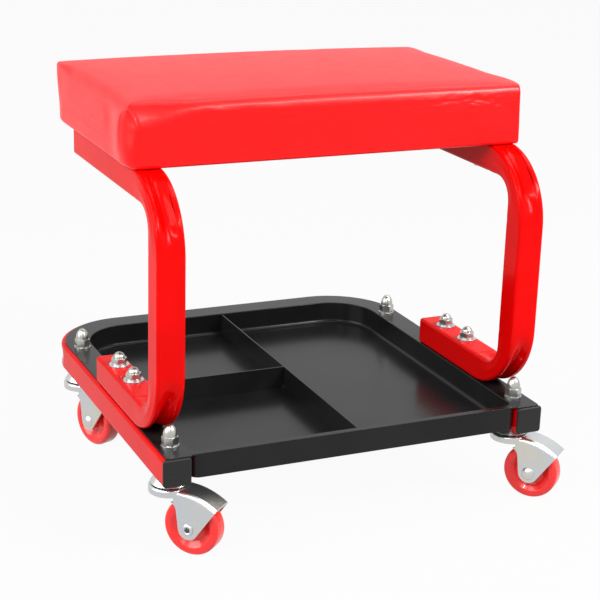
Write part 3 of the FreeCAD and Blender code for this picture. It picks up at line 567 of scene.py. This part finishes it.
def cushionRings(form, creases, low, high):
    halfX = (high[0] - low[0]) / 2 + form["proud"]
    halfY = (high[1] - low[1]) / 2 - form["tucked"]
    middleY = (high[1] + low[1]) / 2
    bottom = low[2] + form["lift"]
    boardTop = bottom + form["board"]
    edgeTop = high[2] - form["crown"]

    def cornerRadii(number, level):
        # a fold opens below its arch, over its rise along the side and along the front
        below = max(edgeTop - form["archTop"] - level, 0)
        radii = []
        ends = (form[key][number] for key in ("archRise", "cornerHigh", "cornerLow"))
        for rise, upper, lower in zip(*ends):
            share = min(below / rise, 1)
            grown = math.sqrt(1 - (1 - share) ** 2) if number == 3 else eased(share)
            radii.append(upper * (1 - grown) + lower * grown)
        return radii

    def inset(edge, level):
        # how far the wall stands back at a level, for its top edge and its bottom edge
        height, depth, power = edge
        over = min((level - (edgeTop - height)) / height, 1)
        under = form["bottomEdge"] - (level - bottom)
        back = depth * (1 - (1 - over ** power) ** (1 / power)) if over > 0 else 0
        if under > 0:
            back += form["bottomEdge"] - math.sqrt(max(form["bottomEdge"] ** 2 - under ** 2, 0))
        return back

    def endEdge(number):
        # edge of the front or rear wall where it meets a corner
        return {0: form["edgeFrontEnds"][0], 3: form["edgeFrontEnds"][1]}.get(number, form["edgeRear"])

    def bulge(level, distance=0.0):
        # the left wall swells beside the front fold
        rise = (level - bottom) / (edgeTop - form["archTop"] - bottom)
        tall = math.sin(math.pi * min(max(rise, 0), 1)) ** form["foldBulgePower"]
        return form["foldBulge"] * tall * math.exp(-(distance / form["foldBulgeRun"]) ** 2)

    def cornerSpot(number, share, level, back=None, soft=0.0):
        sx, sy = corner2d[number]
        along, across = cornerRadii(number, level)
        backX = inset(form["edgeSideEnds"][number], level) if back is None else back
        backY = inset(endEdge(number), level) if back is None else back
        across = max(across - backX, form["leastRadius"]) + soft
        along = max(along - backY, form["leastRadius"]) + soft
        angle = math.atan2(sy, sx) - math.pi / 4 + math.pi / 2 * share
        out, ahead, reach = math.cos(angle), math.sin(angle), across
        if number == 3 and back is None:
            # flatter than round, from the swollen wall to the front
            below = eased((edgeTop - form["archTop"] - level) / form["archRise"][3][0])
            above = eased((level - boardTop) / form["foldFade"])
            power = 1 + (2 / form["foldPower"] - 1) * below * above
            out = -abs(out) ** power
            ahead = -abs(ahead) ** power
            reach += bulge(level)
        return Vector((sx * (halfX - backX - across) + reach * out,
                       sy * (halfY - backY - along) + along * ahead))

    def wallEdge(number, share, distance):
        if number == 1:
            return form["edgeRear"]
        if number == 3:
            end = 1 if share < 0.5 else 0
            fade = eased(distance / form["edgeFrontFade"][end])
            return mixed(form["edgeFrontEnds"][end], form["edgeFront"], fade)
        near = form["edgeSideEnds"][number if share < 0.5 else number + 1]
        return mixed(near, form["edgeSide"], eased(distance / form["edgeSideFade"]))

    # a column is on a corner or on the wall after it, and holds its share along that, its top edge, its way
    # out and, on a wall, its distance to the nearer corner
    columns = []
    for number in range(4):
        onSide = number % 2 == 0   # the walls go right, rear, left, front
        before, after = endEdge(number), form["edgeSideEnds"][number]
        if not onSide:
            before, after = after, before
        first = math.atan2(corner2d[number][1], corner2d[number][0]) - math.pi / 4
        for k in range(form["cornerCount"]):
            share = k / form["cornerCount"]
            angle = first + math.pi / 2 * share
            way = Vector((math.cos(angle), math.sin(angle)))
            columns.append(Column("corner", number, share, mixed(before, after, share), way, 0.0))
        way = Vector((math.cos(first + math.pi / 2), math.sin(first + math.pi / 2)))
        count = form["sideCount"] if onSide else form["frontCount"]
        length = 2 * (halfY if onSide else halfX)
        for k in range(count):
            share = k / count
            share -= form["crowding"] * math.sin(2 * math.pi * share)   # closer together near the corners
            distance = length * min(share, 1 - share)
            edge = wallEdge(number, share, distance)
            columns.append(Column("wall", number, share, edge, way, distance))

    def foldLine(column, level):
        # wide valley where the left wall goes in behind the fold, and crease where the fold meets the front
        number, share, distance = column.number, column.share, column.distance
        along, across = cornerRadii(3, level)
        if column.kind == "corner" and number == 3:
            valley = math.sin(math.pi / 2 * share)
            crease = (1 - share) * across * 1.5   # near enough the arc's length
        elif column.kind == "wall" and number == 2 and share > 0.5:
            valley = -distance / along
            crease = along
        elif column.kind == "wall" and number == 3 and share < 0.5:
            valley = 2   # past the fold
            crease = distance
        else:
            return 0.0
        above = eased((level - boardTop - form["lineStart"]) / form["lineFade"])
        depth = form["foldDepthAtBoard"] + (form["foldDepth"] - form["foldDepthAtBoard"]) * above
        depth *= along / form["cornerLow"][3][0]
        bowl = depth * math.exp(-((valley - form["foldPlace"]) / form["foldWidth"]) ** 2)
        line = form["creaseDepth"] * above * math.exp(-(crease / form["creaseWidth"]) ** 2)
        upper = eased((edgeTop - form["lineEnd"] - level) / form["lineEnd"])
        return (bowl + line) * eased((level - bottom) / form["lineFade"]) * upper

    def wrinkled(spot, level, column):
        if column.kind != "wall" or column.number != 3:
            return 0.0
        band = zone(edgeTop - level, *creases["band"])
        right = zone(spot.x, *creases["right"])
        left = zone(-spot.x, *creases["left"]) * creases["leftShare"]
        streaks = 0.0
        for strength, across, up, lean, seed in creases["layers"]:
            place = Vector((spot.x * across, seed, level * up + spot.x * lean))
            streaks += strength * noise.noise(place)
        return creases["depth"] * band * (creases["everywhere"] + max(right, left)) * streaks

    def drawnIn(spot, way, level):
        acrossWall = max(0.0, 1 - (spot.x / halfX) ** 2) * abs(way.y) ** form["drawInAtCorner"]
        alongWall = max(0.0, 1 - (spot.y / halfY) ** 2) * abs(way.x) ** form["drawInAtCorner"]
        rise = (level - boardTop) / (edgeTop - boardTop)
        tall = math.sin(math.pi * min(max(rise, 0), 1)) ** form["drawInPower"]
        return form["drawIn"] * (acrossWall + alongWall) * tall

    def planSpot(column, level, back=None, soft=0.0):
        if column.kind == "corner":
            return cornerSpot(column.number, column.share, level, back, soft)
        before = cornerSpot(column.number, 1, level, back, soft)
        return before.lerp(cornerSpot((column.number + 1) % 4, 0, level, back, soft), column.share)

    def wallSpot(column, level):
        spot = planSpot(column, level)
        if column.kind == "wall":
            onSide = column.number % 2 == 0
            reach = (halfX if onSide else halfY) - inset(column.edge, level)
            if column.number == 2 and column.share > 0.5:
                reach += bulge(level, column.distance)
            if onSide:
                spot.x = math.copysign(reach, spot.x)
            else:
                spot.y = math.copysign(reach, spot.y)
        pulled = drawnIn(spot, column.way, level) + foldLine(column, level) - wrinkled(spot, level, column)
        spot -= column.way * pulled
        return Vector((spot.x, spot.y + middleY, level))

    def flatRing(back, level, soft=0.0):
        base = bottom if level < boardTop else edgeTop
        spots = (planSpot(column, base, back, soft) for column in columns)
        return [Vector((spot.x, spot.y + middleY, level)) for spot in spots]

    # from the hem below the board, up the walls and over the top edge, to the middle of the top
    rings = [
        flatRing(form["turnUnder"] + form["hemLean"], bottom + form["pocket"]),
        flatRing(form["turnUnder"], bottom + form["hemRise"]),
        flatRing(form["turnUnder"] - form["hemRound"], bottom),
    ]
    rings += [flatRing(back, bottom) for back in form["underRings"]]
    for k in range(form["bottomCount"]):
        turn = math.pi / 2 * k / (form["bottomCount"] - 1)
        level = bottom + form["bottomEdge"] * (1 - math.cos(turn))
        rings.append([wallSpot(column, level) for column in columns])
    wallLow = bottom + form["bottomEdge"]
    for k in range(1, form["wallCount"]):
        share = k / form["wallCount"]
        rings.append([wallSpot(column, wallLow + (edgeTop - column.edge[0] - wallLow) * share)
                      for column in columns])
    for k in range(form["edgeCount"]):
        turn = math.pi / 2 * (1 - k / (form["edgeCount"] - 1))
        sunk = 1 - math.cos(turn)
        rings.append([wallSpot(column, edgeTop - column.edge[0] * sunk) for column in columns])
    back = form["topFirst"]
    inner = flatRing(back, edgeTop, form["topSoft"])
    rim = rings[-1]
    for part in form["topBlend"]:
        rings.append([last.lerp(spot, part) for last, spot in zip(rim, inner)])
    while back < halfY - form["topLast"]:
        soft = form["topSoft"] + (back - form["topFirst"]) * form["softGrowth"]
        rings.append(flatRing(back, edgeTop, min(soft, (halfY - back) * form["softLimit"])))
        back += form["topStep"]
    return rings, (halfX, halfY, middleY, edgeTop)


def meshFromRings(name, rings):
    around = len(rings[0])
    points = [p for ring in rings for p in ring]
    faces = []
    for row in range(len(rings) - 1):
        for n in range(around):
            after = (n + 1) % around
            lower, upper = row * around, (row + 1) * around
            faces.append((lower + n, lower + after, upper + after, upper + n))
    faces.append(tuple(reversed(range(around))))
    faces.append(tuple(range((len(rings) - 1) * around, len(rings) * around)))
    data = bpy.data.meshes.new(name)
    data.from_pydata(points, [], faces)
    made = bmesh.new()
    made.from_mesh(data)
    bmesh.ops.triangulate(made, faces=[f for f in made.faces if len(f.verts) > 4])
    bmesh.ops.recalc_face_normals(made, faces=made.faces)
    made.to_mesh(data)
    made.free()
    data.polygons.foreach_set("use_smooth", [True] * len(data.polygons))
    thing = bpy.data.objects.new(name, data)
    bpy.context.collection.objects.link(thing)
    return thing


def domeTop(thing, form, sizes):
    halfX, halfY, middleY, edgeTop = sizes
    for vertex in thing.data.vertices:
        p = vertex.co
        across, along = p.x / halfX, (p.y - middleY) / halfY
        lift = max(0, 1 - across ** 2) * max(0, 1 - along ** 2)
        weight = min(max((p.z - (edgeTop - form["crownDepth"])) / form["crownDepth"], 0), 1)
        drop = min((across * along) ** 2, 1)
        p.z += (form["crown"] * lift ** form["crownPower"] - form["cornerDrop"] * drop) * weight * weight


def puffUp(thing, puff):
    # inflates a remeshed copy as cloth, and moves the clean mesh by what the copy moved
    copy = bpy.data.objects.new("puffCopy", thing.data.copy())
    bpy.context.collection.objects.link(copy)
    remesh = copy.modifiers.new("even", "REMESH")
    remesh.mode = "VOXEL"
    remesh.voxel_size = puff["voxel"]
    graph = bpy.context.evaluated_depsgraph_get()
    even = bpy.data.meshes.new_from_object(copy.evaluated_get(graph))
    copy.modifiers.clear()
    copy.data = even
    floorLevel = min(v.co.z for v in even.vertices)
    held = copy.vertex_groups.new(name="held")
    held.add([v.index for v in even.vertices if v.co.z < floorLevel + puff["pinned"]], 1.0, "REPLACE")
    cloth = copy.modifiers.new("puff", "CLOTH")
    cloth.settings.vertex_group_mass = "held"
    cloth.settings.use_pressure = True
    cloth.settings.uniform_pressure_force = puff["pressure"]
    cloth.settings.tension_stiffness = puff["stiffness"]
    cloth.settings.compression_stiffness = puff["stiffness"]
    cloth.settings.bending_stiffness = puff["bending"]
    cloth.settings.effector_weights.gravity = 0
    cloth.point_cache.frame_start = 1
    cloth.point_cache.frame_end = puff["frames"]
    before = [v.co.copy() for v in even.vertices]
    for number in range(1, puff["frames"] + 1):
        bpy.context.scene.frame_set(number)
    graph = bpy.context.evaluated_depsgraph_get()
    after = [v.co.copy() for v in copy.evaluated_get(graph).data.vertices]
    bpy.context.scene.frame_set(1)
    tree = KDTree(len(before))
    moves = []
    for number, (old, new) in enumerate(zip(before, after)):
        move = new - old
        if move.length > puff["cap"]:
            move *= puff["cap"] / move.length
        moves.append(move)
        tree.insert(old, number)
    tree.balance()
    for vertex in thing.data.vertices:
        found = tree.find_n(vertex.co, puff["neighbours"])
        weights = [1 / (distance + puff["softening"]) ** 2 for spot, number, distance in found]
        move = sum((moves[number] * w for (spot, number, distance), w in zip(found, weights)), Vector())
        vertex.co += move / sum(weights)
    bpy.data.objects.remove(copy)


rings, cushionSizes = cushionRings(cushion, wrinkles, coverLow, coverHigh)
seatCushion = meshFromRings("seatCushion", rings)
domeTop(seatCushion, cushion, cushionSizes)
puffUp(seatCushion, swell)
seatCushion.data.materials.append(redVinyl)
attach(seatCushion, "stool")
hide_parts("seat_cover", "seat_foam")
print("cushion made,", len(seatCushion.data.polygons), "faces")


# floor, backdrop and lamps

studio = {
    "floorColor": (0.42, 0.42, 0.42), "floorSize": 12,
    "floorLift": 0.95,            # share of plain white that the camera and mirrors see in the floor
    "worldLight": 0.2,            # strength of the white surroundings as a lamp, 1 where they are seen
    "lamps": {
        "keyBox": {"place": (0.85, -1.5, 1.6), "aim": (0, 0, 0.25), "size": (1.3, 0.34), "power": 26},
        "overBox": {"place": (0.75, 0.1, 1.75), "aim": (0, 0.05, 0.3), "size": (0.8, 1.4), "power": 13},
        "leftBox": {"place": (-1.9, -0.1, 1.05), "aim": (0, 0, 0.25), "size": (1.4, 1.3), "power": 30},
        "leftStrip": {"place": (-1, -1.15, 1.3), "aim": (0, -0.1, 0.25), "size": (0.045, 0.7), "power": 15},
        "rightStrip": {"place": (1, -1.1, 1.25), "aim": (0, -0.1, 0.25), "size": (0.045, 0.7), "power": 16},
    },
}


def lightPathShare(start):
    seen = start.add("ShaderNodeLightPath", output="Is Camera Ray")
    share = seen.maths("MAXIMUM", seen, seen.sibling("Is Glossy Ray"))
    return share.maths("MAXIMUM", share, seen.sibling("Is Transmission Ray"))


def makeStudio(look):
    scene = bpy.context.scene
    scene.view_settings.view_transform = "Standard"
    world = bpy.data.worlds.new("studio")
    world.use_nodes = True
    world.node_tree.nodes.clear()
    start = Wire(world.node_tree)
    strength = lightPathShare(start) * (1 - look["worldLight"]) + look["worldLight"]
    sky = start.add("ShaderNodeBackground", {}, {"Color": (1, 1, 1, 1), "Strength": strength})
    start.add("ShaderNodeOutputWorld", {}, {"Surface": sky})
    scene.world = world

    half = look["floorSize"] / 2
    data = bpy.data.meshes.new("floor")
    outline = [(sx * half, sy * half, 0) for sx, sy in ((-1, -1), (1, -1), (1, 1), (-1, 1))]
    data.from_pydata(outline, [], [(0, 1, 2, 3)])
    floor = bpy.data.objects.new("floor", data)
    bpy.context.collection.objects.link(floor)
    material = bpy.data.materials.new("paleFloor")
    material.use_nodes = True
    material.node_tree.nodes.clear()
    start = Wire(material.node_tree)
    matt = start.add("ShaderNodeBsdfDiffuse", {}, {"Color": (*look["floorColor"], 1)})
    white = start.add("ShaderNodeEmission", {}, {"Color": (1, 1, 1, 1), "Strength": 1})
    lift = lightPathShare(start) * look["floorLift"]
    both = start.add("ShaderNodeMixShader", {}, {0: lift, 1: matt, 2: white})
    start.add("ShaderNodeOutputMaterial", {}, {"Surface": both})
    data.materials.append(material)

    for name, lamp in look["lamps"].items():
        data = bpy.data.lights.new(name, "AREA")
        data.shape = "RECTANGLE"
        data.size, data.size_y = lamp["size"]
        data.energy = lamp["power"]
        light = bpy.data.objects.new(name, data)
        light.location = lamp["place"]
        ray = Vector(lamp["aim"]) - Vector(lamp["place"])
        light.rotation_euler = ray.to_track_quat("-Z", "Y").to_euler()
        bpy.context.collection.objects.link(light)


makeStudio(studio)
print("studio lit")
